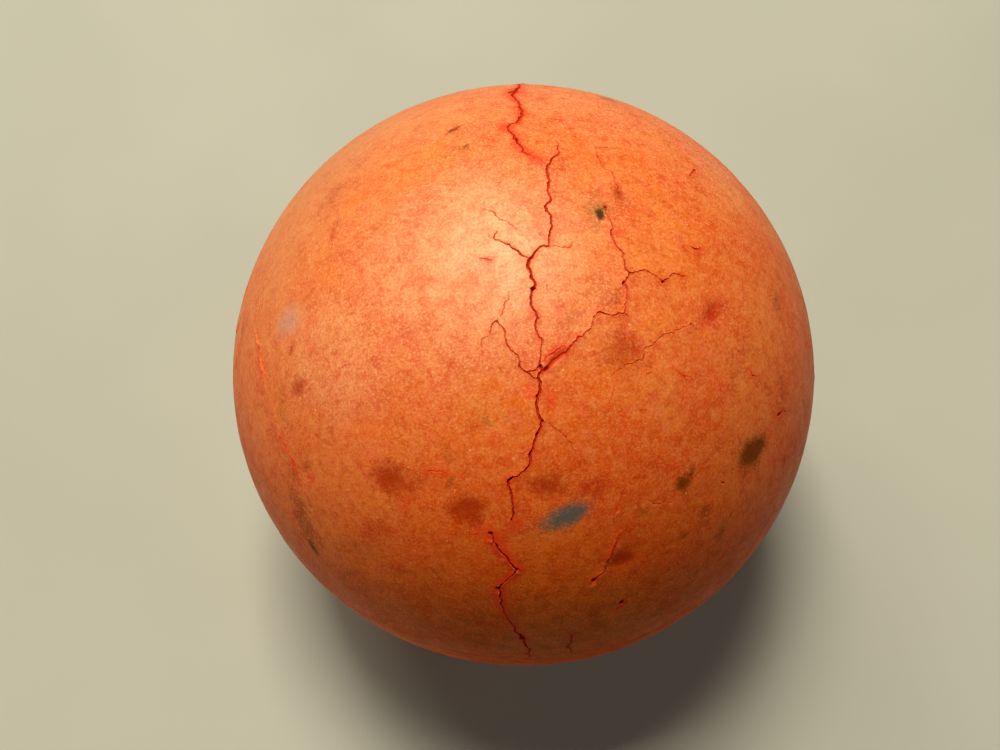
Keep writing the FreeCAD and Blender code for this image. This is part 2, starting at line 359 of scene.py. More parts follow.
# Sharp-edged holes and chips: right, up, half length, half width, tilt and depth.
PITS = [
    *marks(WORN, Hollow, [
        (-4, 64.2, 0.9, 0.7, 60, 0.9), (-1.6, 44.3, 0.34, 0.28, 0, 0.8),
        (1.8, 13.8, 0.36, 0.24, 0, 0.9), (2.8, 1.3, 0.34, 0.2, 70, 0.4),
        (3.7, 0.9, 0.5, 0.24, 42, 0.4), (-2, -16.9, 0.4, 0.2, 32, 0.3),
        (-5.8, -26.5, 0.4, 0.34, 0, 0.9), (-1.1, -33.8, 0.34, 0.2, 30, 0.5),
        (-5.1, -38.4, 0.44, 0.36, 0, 0.9), (0, -53.4, 0.7, 0.5, 90, 0.9),
        (15, -36.6, 0.55, 0.36, 60, 1.0), (23.9, -42.8, 0.6, 0.4, 80, 0.6),
        (17, 14.9, 0.34, 0.2, 60, 0.4), (24.4, 15.3, 0.3, 0.2, 30, 0.5),
        (15.6, 28.6, 0.24, 0.2, 0, 0.4), (28.9, 8.3, 0.24, 0.18, 60, 0.35),
        (38.3, -18.4, 0.36, 0.2, -30, 0.3), (51.8, -6.8, 0.8, 0.3, 10, 0.4),
    ]),
    Hollow(BACK, -11, 8, 0.8, 0.55, 40, 1.2),
    Hollow(BACK, 26.5, -13, 0.7, 0.5, 80, 1.1),
    Hollow(BACK, 14, 30, 0.6, 0.5, 20, 0.6),
    Hollow(LEFT, -6, 8.4, 0.7, 0.5, 20, 1),
    Hollow(LEFT, 20, -14, 0.6, 0.4, 60, 0.5),
    Hollow(RIGHT, -7, 2, 0.8, 0.5, 70, 1.1),
    Hollow(UNDER, 1, 2, 0.8, 0.6, 10, 1.1),
]

# Soft hollows, in the same order.
DENTS = [
    *marks(WORN, Hollow, [
        (2.5, 40, 3.4, 1.3, -25, 0.16), (-22.5, -17.3, 2.6, 2, 0, 0.14),
        (-9.7, -22.2, 2, 1.6, 0, 0.12), (20.5, -32.3, 2.4, 1.5, 20, 0.16),
        (33, 9.6, 2.4, 1.1, 55, 0.14), (-34.5, -33, 2.2, 1.8, 0, 0.2),
        (44.6, -13.4, 3, 2.4, 60, 0.1), (4.4, -18, 2.4, 1.8, 0, 0.08),
        (-41.5, -16.5, 2, 1.4, 50, 0.14),
        # Chips that stand up beside the lower cracks.
        (15.3, -37.9, 0.6, 0.25, 40, -0.22), (18.4, -29.6, 0.9, 0.22, 80, -0.13),
        (17.7, -32.9, 0.6, 0.2, 90, -0.11), (-3.8, -31.9, 0.5, 0.2, -35, -0.16),
        (-5.9, -28.1, 0.35, 0.2, 10, -0.14), (-0.8, -34.7, 0.4, 0.18, -20, -0.14),
        (-5.2, -39.5, 0.4, 0.2, 0, -0.14), (3.9, -0.3, 0.5, 0.22, 15, -0.12),
        (5.5, 1.8, 1.4, 0.18, 42, -0.1), (17.1, -23, 0.4, 0.2, 60, -0.14),
        (-33.8, -31.4, 0.6, 0.25, -30, -0.16),
    ]),
    Hollow(BACK, 12, -26, 3.4, 2.6, 20, 0.2),
    Hollow(BACK, -30, 12, 3, 2, -30, 0.16),
    Hollow(LEFT, 10, 4, 3, 2.4, 50, 0.18),
    Hollow(RIGHT, 16, 4, 3.4, 2.2, -40, 0.18),
    Hollow(UNDER, -20, 18, 3, 2.4, 0, 0.16),
]

STAIN_KINDS = (
    "faded", "deep", "dusty", "halo", "bruise", "brown", "olive", "chalk", "soot", "blue", "pale",
)

# Each row of a stain is right, up, half length, half width, tilt and strength.
STAINS = [
    # Where the sun has bleached it; on this face the paler patches are also painted highlight and
    # sheen, where the light falls.
    *stains(WORN, "faded", [
        (-9, 19, 17, 15, 20, 1.0), (-4, 58, 40, 20, 0, 0.5), (-32, 4, 12, 10, 20, 0.8),
        (27, 12, 11, 13, 20, 0.25), (-48, 12, 14, 24, 0, 0.4), (54, 46, 10, 18, 30, 0.5),
    ]),
    # Painted shade: darker and more saturated towards the bottom.
    *stains(WORN, "deep", [
        (16, -56, 42, 30, 0, 1.0),
    ]),
    # Painted sheen: a greyer tone at the upper-left edge.
    *stains(WORN, "dusty", [
        (-55, 42, 22, 12, 50, 1.0),
    ]),
    # Reddened bruises.
    *stains(WORN, "bruise", [
        (-22.7, -17.3, 2.9, 2.2, 0, 0.8), (-18.3, -17.3, 1.6, 1.2, 0, 0.6),
        (-9.7, -22.2, 2.3, 1.8, 20, 0.9), (20.3, -32.2, 1.5, 1.2, 0, 0.85),
        (33.4, 10.4, 2.4, 1.4, 55, 0.5), (5.3, 2.9, 1.9, 0.42, 40, 0.8),
        (4.2, -17.8, 2.4, 1.7, 0, 0.75), (12, -18, 2.6, 1.6, 10, 0.5),
        (-34.5, -4.4, 2, 1.3, 20, 0.4), (15.5, 3.2, 3.2, 2.8, 0, 0.65),
        (21, -15.5, 2.6, 1.8, 20, 0.3), (-43, 33, 5, 2.4, 60, 0.4), (-31, 34, 3.6, 2, 30, 0.3),
        (8, 9, 2.6, 1.6, 40, 0.35), (-8, -8, 3.4, 1.6, -20, 0.3), (28, -8, 3, 2, 40, 0.25),
        (40, 3, 4, 2.4, 80, 0.35), (-28, -27, 4, 2, 20, 0.35), (4, -40, 5, 2, 10, 0.35),
        (7.6, 37.4, 3, 1.6, 0, 0.4), (-41.7, -15.6, 1.4, 0.8, 35, 0.7),
        (-41.3, -1.8, 1.8, 1.3, 50, 0.7), (-43.2, 4.2, 1.5, 0.7, 70, 0.6),
        (-46.5, 22.2, 1.6, 0.9, 70, 0.5), (-38.6, 27.2, 2.8, 0.7, 75, 0.5),
        (19, 31.6, 1.0, 0.6, 110, 0.6), (-44.5, -1, 2.4, 1.2, 95, 0.35),
    ]),
    # Bright red patches.
    *stains(WORN, "halo", [
        (20.3, -32.2, 1.6, 1.3, 0, 0.7), (33.4, 9.8, 2.6, 1.4, 55, 0.6),
        (4.5, -3.6, 1.0, 1.8, 0, 0.65), (1.1, -2.6, 0.8, 1.2, 0, 0.6), (5.2, 3, 1.9, 0.4, 40, 0.8),
        (2.5, 5, 0.45, 2.4, 0, 0.55), (12, -18, 2.6, 1.6, 10, 0.5), (-54, 2, 6, 2, 105, 0.45),
        (-3, 65.5, 3.4, 1.6, 75, 1.0), (-1.4, 57, 3, 1.2, 75, 0.6), (-4.2, 48, 1.4, 1.5, 60, 0.9),
        (0.6, 41.2, 2.4, 1, -30, 0.8), (2.2, 52, 1.6, 0.8, 0, 0.6),
        (-41.3, -17.8, 1.2, 0.7, 45, 0.7), (-5.8, -27, 2, 1.6, 0, 0.8),
        (-1.4, -25, 1.4, 1.4, 0, 0.6),
    ]),
    # Brown weathering; the wide patch at (14, -56) is painted shade, darker towards the bottom.
    *stains(WORN, "brown", [
        (44.6, -13.5, 2.8, 2.2, 15, 1.0), (46, -12.2, 1.6, 1.3, 50, 0.95),
        (29, -17.9, 1.2, 1.1, 60, 1.0), (30.3, -16, 0.9, 0.7, 60, 0.7),
        (35.8, -24.2, 1.8, 1.3, 60, 0.5), (32.3, -28, 0.9, 0.7, 0, 0.7),
        (42.5, -27.6, 2, 1.3, 50, 0.5), (53, 13.3, 3, 1.3, 100, 0.45), (52, -2, 3, 1.4, 95, 0.35),
        (14, 12.8, 2.4, 2, 0, 0.35), (-48.5, -26, 6, 2.4, 115, 0.5), (-46, -6, 4, 1.3, 100, 0.35),
        (-47, -17, 3, 1, 110, 0.4), (14, -56, 30, 14, 0, 0.35), (-13.1, 42.4, 0.7, 0.5, 0, 0.9),
        (-15.6, 42.3, 0.6, 0.5, 0, 0.6), (-18.2, 48, 1.5, 0.5, 40, 0.7),
        (-17.6, 40.3, 0.8, 0.4, 0, 0.5), (15.4, 28.3, 0.5, 0.35, 50, 0.8),
    ]),
    # Olive marks; the wide patch at (2, -56) is painted shade, darker and more olive towards the
    # bottom.
    *stains(WORN, "olive", [
        (2, -56, 36, 15, 0, 0.5), (-28, 25, 3, 1.6, 20, 0.35), (-14, -50, 3.6, 1.6, 15, 0.4),
        (-33, -43, 3, 1.4, -30, 0.35), (34, -38, 3.4, 1.8, 40, 0.35),
        (-5.5, -7.4, 1.7, 0.6, -30, 0.6), (-2.6, -6.8, 0.8, 0.6, 0, 0.5),
        (-12.2, -12.8, 1.6, 1.1, -20, 0.45), (13.3, 25.5, 1.4, 0.4, 110, 0.7),
        (8.4, 17.4, 1, 0.5, 20, 0.5), (21.8, -23, 0.9, 0.5, 0, 0.6),
        (-12.1, -17.3, 0.8, 0.5, 60, 0.6), (14.4, 28.2, 2.2, 1.2, 30, 0.7),
        (12.7, 25.2, 1.3, 0.35, 120, 0.6), (15.5, 29.5, 6, 4, 30, 0.35),
        (5.4, -25, 3.4, 1.6, 30, 0.5),
    ]),
    # Near-black specks.
    *stains(WORN, "soot", [
        (14.35, 27.1, 0.85, 0.5, 95, 1.1), (-50.4, -32.5, 1.6, 0.8, 125, 0.8),
        (-14.9, 27.3, 0.3, 0.3, 0, 0.8), (-21, -7.3, 0.3, 0.22, 0, 0.7),
        (33.9, 2.6, 0.3, 0.5, 0, 0.4),
    ]),
    # Blue-grey smudges.
    *stains(WORN, "blue", [
        (7.9, -23.3, 3, 1.4, 24, 1.1),
    ]),
    # A chalky smear.
    *stains(WORN, "chalk", [
        (-45, 9.3, 2.9, 2.1, 10, 0.8),
    ]),
    # Pale scuffs.
    *stains(WORN, "pale", [
        (4.1, -0.4, 0.6, 0.26, 15, 1.2), (5.5, 1.8, 1.4, 0.15, 42, 1.1),
        (3.8, -8.2, 0.5, 0.35, 60, 0.5), (-0.8, -34.7, 0.4, 0.2, -20, 0.5),
        (-3.8, -31.9, 0.5, 0.22, -35, 0.5), (-5.9, -28.1, 0.4, 0.2, 10, 0.5),
        (15.3, -37.9, 0.65, 0.28, 40, 0.5), (18.4, -29.6, 0.8, 0.18, 80, 0.6),
        (-5.2, -39.8, 0.6, 0.3, 0, 0.5), (17.1, -22.9, 0.6, 0.4, 0, 0.5),
        (24, -21.8, 0.6, 0.25, 0, 0.6), (27.5, -21.7, 0.5, 0.3, 0, 0.7),
        (-33.6, -31.3, 0.7, 0.4, -30, 0.8), (38.8, 11.2, 0.5, 0.3, 100, 0.6),
    ]),
    # The other faces.
    Stain(BACK, "faded", 10, -6, 20, 14, 30, 0.6),
    Stain(BACK, "bruise", -4, 16, 4, 2.6, 30, 0.7),
    Stain(BACK, "bruise", 22, -20, 3.6, 2.2, -20, 0.7),
    Stain(BACK, "brown", 14, 26, 3, 2.2, 40, 0.7),
    Stain(BACK, "brown", -28, -20, 4, 2, 70, 0.6),
    Stain(BACK, "olive", 36, 4, 2, 1.2, 20, 0.6),
    Stain(BACK, "blue", -20, 34, 2.4, 1.5, -20, 0.6),
    Stain(BACK, "soot", 6, -18, 0.8, 0.5, 30, 0.8),
    Stain(LEFT, "faded", 4, -14, 16, 14, -20, 0.5),
    Stain(LEFT, "brown", 22, -8, 4, 2.4, 70, 0.6),
    Stain(LEFT, "bruise", -12, -16, 3, 2, 10, 0.7),
    Stain(LEFT, "olive", 2, 26, 2.4, 1.2, 0, 0.5),
    Stain(RIGHT, "faded", 6, 6, 14, 18, 30, 0.5),
    Stain(RIGHT, "bruise", 12, -12, 3.4, 2, 40, 0.7),
    Stain(RIGHT, "brown", -18, -18, 4, 2.4, 110, 0.6),
    Stain(RIGHT, "soot", 8, 12, 0.8, 0.5, 60, 0.7),
    Stain(UNDER, "brown", 12, -4, 4, 3, 30, 0.6),
    Stain(UNDER, "bruise", -14, -14, 3.4, 2.4, 10, 0.7),
    Stain(UNDER, "olive", -6, 16, 3, 1.6, -30, 0.5),
]


# ---------------------------------------------------------------- directions and noise


def face_axes(face):
    """The directions out of a face's middle, to its right and up."""
    azimuth, elevation = (math.radians(angle) for angle in face)
    out = (
        math.sin(azimuth) * math.cos(elevation),
        -math.cos(azimuth) * math.cos(elevation),
        math.sin(elevation),
    )
    right = (math.cos(azimuth), math.sin(azimuth), 0)
    up = np.cross(out, right)
    return np.array(out), np.array(right), up


def on_face(face, right_angle, up_angle):
    """The direction to a point on a face, from its angles in degrees."""
    out, right, up = face_axes(face)
    across = math.radians(right_angle)
    above = math.radians(up_angle)
    level = out * math.cos(across) + right * math.sin(across)
    return level * math.cos(above) + up * math.sin(above)


def unit(vectors):
    return vectors / np.linalg.norm(vectors, axis=-1, keepdims=True)


AXIS_PRIMES = (73856093, 19349663, 83492791)
SEED_PRIME = 97531
MIXING = ((15, 2246822519), (13, 3266489917))
LAST_SHIFT = 16
MASK = 0x7FFFFFFF
HALF_RANGE = 0x40000000


def smooth_noise(points, cell, seed):
    """Noise from -1 to 1 at points in mm, whose lumps are about one cell across."""
    scaled = points / cell
    corner = np.floor(scaled).astype(np.int64)
    part = scaled - corner
    part = part * part * (3 - 2 * part)
    total = np.zeros(len(points))
    for offset in itertools.product((0, 1), repeat=3):
        place = (corner + offset) * AXIS_PRIMES
        mixed = (place[:, 0] ^ place[:, 1] ^ place[:, 2] ^ seed * SEED_PRIME) & MASK
        for shift, prime in MIXING:
            mixed = (mixed ^ mixed >> shift) * prime & MASK
        value = (mixed ^ mixed >> LAST_SHIFT) / HALF_RANGE - 1
        share = np.where(offset, part, 1 - part).prod(axis=1)
        total += value * share
    return total


def layered_noise(points, cell, seed, layers):
    """Several sizes of noise added, each half the size and strength of the one before."""
    total = np.zeros(len(points))
    for layer in range(layers):
        total += smooth_noise(points, cell / 2**layer, seed + layer) / 2**layer
    return total


# ---------------------------------------------------------------- crack paths

# The openings and depths in the lists are apparent ones, and the mesh takes this share of each.
OPENING_SHARE = 0.45
DEPTH_SHARE = 0.5
# The mesh edge inside a crack.
FINEST = 0.145
FINEST_ELSEWHERE = 0.2
# A route is broken up until no step is longer than this, with a jog of at most WANDER of a step.
SHORTEST_STEP = 0.5
WANDER = 0.17
WANDER_SEED = 7
NARROWED, WIDENED = 0.82, 1.18
# Hairlines.
TAPER = 0.16
HAIRLINE_LIP = 0.02


class Path(NamedTuple):
    """A crack's middle line as points on the ball in mm, with the half opening at each."""

    points: np.ndarray
    half: np.ndarray
    depth: float
    lip: float
    halo: float
    finest: float


def roughen(points, half, random):
    """Breaks each run in two, again and again, with a sideways jog at each new point."""
    while True:
        gap = np.linalg.norm(np.diff(points, axis=0), axis=1)
        if gap.max() < SHORTEST_STEP:
            return points, half
        new_points = [points[0]]
        new_half = [half[0]]
        for index, length in enumerate(gap):
            start, end = points[index], points[index + 1]
            if length >= SHORTEST_STEP:
                middle = (start + end) / 2
                side = np.cross(end - start, middle)
                side /= np.linalg.norm(side)
                middle = middle + side * length * random.uniform(-WANDER, WANDER)
                new_points.append(unit(middle) * BALL_RADIUS)
                mean = (half[index] + half[index + 1]) / 2
                new_half.append(mean * random.uniform(NARROWED, WIDENED))
            new_points.append(end)
            new_half.append(half[index + 1])
        points = np.array(new_points)
        half = np.array(new_half)


def surface_path(mark, half, lip, random):
    """The roughened path of a crack or a hairline."""
    points = np.array([on_face(mark.face, *place[:2]) for place in mark.route])
    points, half = roughen(points * BALL_RADIUS, half, random)
    finest = FINEST if mark.face == WORN else FINEST_ELSEWHERE
    return Path(points, half, mark.depth * DEPTH_SHARE, lip, mark.halo, finest)


def crack_paths():
    """The paths of all the cracks and hairlines."""
    random = np.random.default_rng(WANDER_SEED)
    paths = []
    for crack in CRACKS:
        half = np.array([opening / 2 for _, _, opening in crack.route]) * OPENING_SHARE
        paths.append(surface_path(crack, half, crack.lip, random))
    for line in HAIRLINES:
        taper = np.sin(np.linspace(TAPER, math.pi - TAPER, len(line.route))) ** 0.5
        paths.append(surface_path(line, taper * line.opening * OPENING_SHARE / 2, HAIRLINE_LIP, random))
    return paths


RUN_STEPS = 8


def near_path(points, path, reach):
    """Which points are within reach of a path, and for those their distance from it, the half
    opening there, which side they are on, and how far along they are in mm."""
    best = np.full(len(points), np.inf)
    half = np.zeros(len(points))
    side = np.zeros(len(points))
    along = np.zeros(len(points))
    steps = np.diff(path.points, axis=0)
    lengths = np.linalg.norm(steps, axis=1)
    travelled = np.concatenate([[0], np.cumsum(lengths)])
    near_rows = within(points, path.points, reach, np.arange(len(points)))
    for first in range(0, len(steps), RUN_STEPS):
        run = slice(first, first + RUN_STEPS)
        rows = within(points, path.points[first:first + RUN_STEPS + 1], reach, near_rows)
        offset = points[rows][:, None] - path.points[:-1][run]
        step = steps[run]
        length = lengths[run]
        share = np.clip((offset * step).sum(axis=2) / length**2, 0, 1)
        away = offset - share[:, :, None] * step
        distance = np.sqrt((away**2).sum(axis=2))
        nearest = distance.argmin(axis=1)
        pick = (np.arange(len(rows)), nearest)
        closer = distance[pick] < best[rows]
        rows = rows[closer]
        pick = (pick[0][closer], nearest[closer])
        number = first + pick[1]
        best[rows] = distance[pick]
        half[rows] = path.half[number] * (1 - share[pick]) + path.half[number + 1] * share[pick]
        across = np.cross(steps[number], path.points[number])
        side[rows] = np.sign((away[pick] * across).sum(axis=1))
        along[rows] = travelled[number] + share[pick] * lengths[number]
    chosen = np.flatnonzero(best < reach)
    return chosen, best[chosen], half[chosen], side[chosen], along[chosen]


def within(points, line, reach, rows):
    """The rows of the points that could be within reach of any point of a line."""
    middle = (line.min(axis=0) + line.max(axis=0)) / 2
    radius = np.linalg.norm(line - middle, axis=1).max() + reach
    return rows[((points[rows] - middle) ** 2).sum(axis=1) < radius**2]


def ellipse_distance(points, mark):
    """Each point's distance from a mark's middle, as a share of the mark's own size."""
    out, right, up = face_axes(mark.face)
    middle = on_face(mark.face, mark.right, mark.up)
    level = unit(right - middle * (right @ middle))
    above = np.cross(middle, level)
    tilt = math.radians(mark.tilt)
    long_axis = level * math.cos(tilt) + above * math.sin(tilt)
    short_axis = above * math.cos(tilt) - level * math.sin(tilt)
    offset = points - middle * BALL_RADIUS
    across = (offset @ long_axis) / mark.half_length
    over = (offset @ short_axis) / mark.half_width
    far_side = points @ middle < 0
    return np.where(far_side, np.inf, np.hypot(across, over))


# ---------------------------------------------------------------- the ball's outer surface

# Mesh edges in mm: far from any mark, at the seam, at a pit, and how fast they grow with distance.
PLAIN_EDGE = 1.35
SEAM_EDGE = 0.4
PIT_EDGE = 0.14
GROWTH = 0.9
REFINE_REACH = 1.9
CRACK_MARGIN = 0.06
PIT_MARGIN = 1.15


def wanted_edge(points, paths):
    """The longest mesh edge allowed at each point: short beside cracks and pits."""
    wanted = np.full(len(points), PLAIN_EDGE)
    seam_gap = np.abs(points[:, 2])
    wanted = np.minimum(wanted, SEAM_EDGE + GROWTH * seam_gap)
    for path in paths:
        chosen, distance, half, _, _ = near_path(points, path, REFINE_REACH)
        beyond = np.maximum(distance - half - CRACK_MARGIN, 0)
        wanted[chosen] = np.minimum(wanted[chosen], path.finest + GROWTH * beyond)
    for pit in PITS:
        size = min(pit.half_length, pit.half_width)
        beyond = np.maximum(ellipse_distance(points, pit) - PIT_MARGIN, 0) * size
        wanted = np.minimum(wanted, PIT_EDGE + GROWTH * beyond)
    return wanted


def octahedron():
    """The ball's coarsest form."""
    points = np.array([
        (1, 0, 0), (0, 1, 0), (-1, 0, 0), (0, -1, 0), (0, 0, 1), (0, 0, -1),
    ], float)
    sides = []
    for index in range(4):
        following = (index + 1) % 4
        sides.append((index, following, 4))
        sides.append((following, index, 5))
    return points * BALL_RADIUS, np.array(sides)


def split_once(points, triangles, longest):
    """Halves every edge longer than the length that longest() allows at its middle."""
    starts = triangles
    ends = np.roll(triangles, -1, axis=1)
    low = np.minimum(starts, ends)
    high = np.maximum(starts, ends)
    keys, edge_of = np.unique(low * len(points) + high, return_inverse=True)
    edge_of = edge_of.reshape(-1, 3)
    first = points[keys // len(points)]
    second = points[keys % len(points)]
    length = np.linalg.norm(first - second, axis=1)
    middles = unit(first + second) * np.linalg.norm(first, axis=1, keepdims=True)
    marked = length > longest(middles)
    number = np.where(marked, len(points) + np.cumsum(marked) - 1, -1)
    points = np.vstack([points, middles[marked]])

    made = number[edge_of]
    split = made >= 0
    count = split.sum(axis=1)
    pieces = [triangles[count == 0]]

    def turned(rows, first_side):
        """The chosen triangles, turned so that the given side of each comes first."""
        order = (first_side[:, None] + np.arange(3)) % 3
        corner = np.take_along_axis(triangles[rows], order, axis=1)
        middle = np.take_along_axis(made[rows], order, axis=1)
        return corner.T, middle.T

    rows = np.flatnonzero(count == 1)
    (a, b, c), (ab, _, _) = turned(rows, split[rows].argmax(axis=1))
    pieces += [np.stack([a, ab, c], 1), np.stack([ab, b, c], 1)]

    rows = np.flatnonzero(count == 2)
    whole = (~split[rows]).argmax(axis=1)
    (a, b, c), (ab, bc, _) = turned(rows, (whole + 1) % 3)
    pieces += [np.stack([ab, b, bc], 1), np.stack([a, ab, bc], 1), np.stack([a, bc, c], 1)]

    rows = np.flatnonzero(count == 3)
    (a, b, c), (ab, bc, ca) = turned(rows, np.zeros(len(rows), int))
    pieces += [np.stack([a, ab, ca], 1), np.stack([ab, b, bc], 1)]
    pieces += [np.stack([ca, bc, c], 1), np.stack([ab, bc, ca], 1)]
    return points, np.vstack(pieces), bool(marked.any())


def refined_sphere(radius, longest):
    """A sphere whose edges are no longer than longest() allows at their middles."""
    points, triangles = octahedron()
    points = points * radius / BALL_RADIUS
    more = True
    while more:
        points, triangles, more = split_once(points, triangles, longest)
    return points, triangles


# A crack's depth as a share of its half opening, and how far from its edge each effect reaches.
DEEPEST_TO_HALF = 2.3
CRACK_REACH = 5.0
LIP_WIDTH = 0.45
HALO_WIDTH = 0.8
LIP_HIGHLIGHT_WIDTH = 0.14
FRESH_WIDTH = 0.1
LIP_WAVE = 2.3
CRACK_WALL = 0.8
TINY = 1e-6


def raise_tone(tones, kind, chosen, values):
    """Raises a tone at the chosen points to the values, where those are higher."""
    tones[kind][chosen] = np.maximum(tones[kind][chosen], values)


def crack_relief(points, paths, lift, tones):
    """Opens the cracks: lowers what is inside them, raises their lips and reddens both, and paints a
    pale highlight along the lip on one side.
    A path with a negative depth is a raised line instead."""
    wobble = smooth_noise(points, 0.7, 21) * 0.13 + smooth_noise(points, 0.25, 22) * 0.1
    patchy = layered_noise(points, 2.2, 31, 3) * 0.5 + 0.5
    floor = np.zeros(len(points))
    for path in paths:
        chosen, distance, half, side, along = near_path(points, path, CRACK_REACH)
        patch = patchy[chosen]
        edge = half * (1 + wobble[chosen])
        inside = np.clip(1 - (distance / np.maximum(edge, TINY)) ** 2, 0, None)
        if path.depth < 0:
            lift[chosen] -= path.depth * inside * patch
            raise_tone(tones, "halo", chosen, path.halo * inside * np.clip(0.2 + 1.2 * patch, 0, 1))
            continue
        depth = np.minimum(path.depth, DEEPEST_TO_HALF * half)
        floor[chosen] = np.minimum(floor[chosen], -depth * inside**CRACK_WALL)
        beyond = np.maximum(distance - edge, 0)
        outside = inside == 0
        uneven = 0.75 + 0.5 * patch + 0.35 * side * np.sin(along / LIP_WAVE)
        lift[chosen] += path.lip * uneven * np.exp(-beyond / LIP_WIDTH) * outside
        fresh = np.clip(half / 0.15, 0.2, 1) * np.clip(1 - beyond / FRESH_WIDTH, 0, 1)
        raise_tone(tones, "fresh", chosen, fresh)
        # Painted highlight: a pale line along the lip on one side of each crack, stored in the pale
        # tone.
        rim = np.exp(-beyond / LIP_HIGHLIGHT_WIDTH) * outside * (side > 0) * np.clip(half / 0.2, 0, 1)
        raise_tone(tones, "pale", chosen, rim * np.clip(patch * 2 - 0.5, 0, 1))
        reddened = path.halo * np.exp(-beyond / HALO_WIDTH) * np.clip(0.35 + patch, 0, 1)
        raise_tone(tones, "halo", chosen, reddened)
    lift += floor


# A mark has no effect beyond this many times its own size.
FAR = 9
PIT_WALL = 0.7
PIT_RIM = 0.3
PIT_FRESH = 2.2


def pit_relief(points, lift, tones):
    """Sinks the pits and reddens them."""
    ragged = smooth_noise(points, 0.5, 41) * 0.3 + smooth_noise(points, 0.22, 42) * 0.2
    for pit in PITS:
        reach = ellipse_distance(points, pit) * (1.1 + ragged)
        inside = np.clip(1 - reach**2, 0, None)
        lift -= pit.depth * inside**PIT_WALL
        near = np.clip(1 + PIT_RIM - reach, 0, PIT_RIM) / PIT_RIM * min(pit.depth * PIT_FRESH, 1)
        tones["fresh"] = np.maximum(tones["fresh"], near)


def dent_relief(points, lift):
    """Sinks the dents and raises the chips."""
    for dent in DENTS:
        reach = ellipse_distance(points, dent)
        lift -= dent.depth * np.exp(-np.minimum(reach, FAR) ** 2)


def worn_relief(points, lift):
    """The unevenness of a knocked and weathered surface."""
    for cell, seed, layers, height in ((26, 51, 2, 0.035), (6, 61, 3, 0.022)):
        lift += layered_noise(points, cell, seed, layers) * height
    threshold = 0.45
    knock_depth = 0.16
    lift -= np.clip(smooth_noise(points, 3.2, 71) - threshold, 0, None) * knock_depth


def seam_relief(points, lift):
    """The fine witness line where the two halves meet."""
    depth = 0.09
    half_width = 0.2
    lift -= depth * np.exp(-((points[:, 2] / half_width) ** 2))


STAIN_FALL = 0.7
DEEPEST = 2.6


def stain_tones(points, tones):
    """Each stain fades outwards, and the strongest of its kind counts."""
    for stain in STAINS:
        reach = ellipse_distance(points, stain)
        soft = stain.strength * np.exp(-np.minimum(reach, FAR) ** 2 * STAIN_FALL)
        tones[stain.kind] = np.maximum(tones[stain.kind], soft)


def outer_surface():
    """The whole outside of the ball: points in mm, triangles, and tones at the points."""
    paths = crack_paths()
    points, triangles = refined_sphere(BALL_RADIUS, lambda middles: wanted_edge(middles, paths))
    lift = np.zeros(len(points))
    tones = {kind: np.zeros(len(points)) for kind in (*STAIN_KINDS, "fresh")}
    worn_relief(points, lift)
    dent_relief(points, lift)
    stain_tones(points, tones)
    crack_relief(points, paths, lift, tones)
    pit_relief(points, lift, tones)
    seam_relief(points, lift)
    lift = np.maximum(lift, -DEEPEST)
    return points + unit(points) * lift[:, None], triangles, tones


# ---------------------------------------------------------------- the pieces


INNER_RINGS = 26
INSIDE_FRESH = 0.7


def half_shell(side, points, triangles, tones):
    """One casing half as a closed shell: side is 1 for the upper half and -1 for the lower.
    Returns its points, its faces and its tones."""
    centre_height = points[triangles][:, :, 2].mean(axis=1)
    kept = triangles[centre_height * side > 0]
    used, faces = np.unique(kept, return_inverse=True)
    faces = faces.reshape(-1, 3)
    outside = points[used]
    shell_tones = {kind: values[used] for kind, values in tones.items()}

    rim = np.flatnonzero(np.abs(outside[:, 2]) < TINY)
    turn = np.arctan2(outside[rim, 1], outside[rim, 0])
    rim = rim[np.argsort(turn)]
    turn = np.sort(turn)
    around = np.stack([np.cos(turn), np.sin(turn)], axis=1)

    rings = [(STEP_RADIUS, 0.0), (STEP_RADIUS, STEP_HEIGHT)]
    first_angle = math.asin(STEP_HEIGHT / INNER_RADIUS)
    for angle in np.linspace(first_angle, side * math.pi / 2, INNER_RINGS, endpoint=False):
        rings.append((INNER_RADIUS * math.cos(angle), INNER_RADIUS * math.sin(angle)))

    layers = [rim]
    extra = []
    total = len(outside)
    for radius, height in rings:
        heights = np.full(len(turn), height)
        extra.append(np.column_stack([around * radius, heights]))
        layers.append(np.arange(total, total + len(turn)))
        total += len(turn)
    extra.append(np.array([(0, 0, side * INNER_RADIUS)]))
    pole = total

    quads = []
    for upper, lower in zip(layers, layers[1:]):
        ring = np.stack([upper, np.roll(upper, -1), np.roll(lower, -1), lower], axis=1)
        quads.append(ring if side < 0 else ring[:, ::-1])
    last = layers[-1]
    cap = np.stack([last, np.roll(last, -1), np.full(len(last), pole)], axis=1)
    cap = cap if side < 0 else cap[:, ::-1]

    all_points = np.vstack([outside, *extra])
    added = len(all_points) - len(outside)
    for kind, values in shell_tones.items():
        inner_value = INSIDE_FRESH if kind == "fresh" else 0.0
        shell_tones[kind] = np.concatenate([values, np.full(added, inner_value)])
    all_faces = faces.tolist() + np.vstack(quads).tolist() + cap.tolist()
    return all_points, all_faces, shell_tones


def add_object(name, data):
    """A new object in the scene."""
    thing = bpy.data.objects.new(name, data)
    bpy.context.scene.collection.objects.link(thing)
    return thing


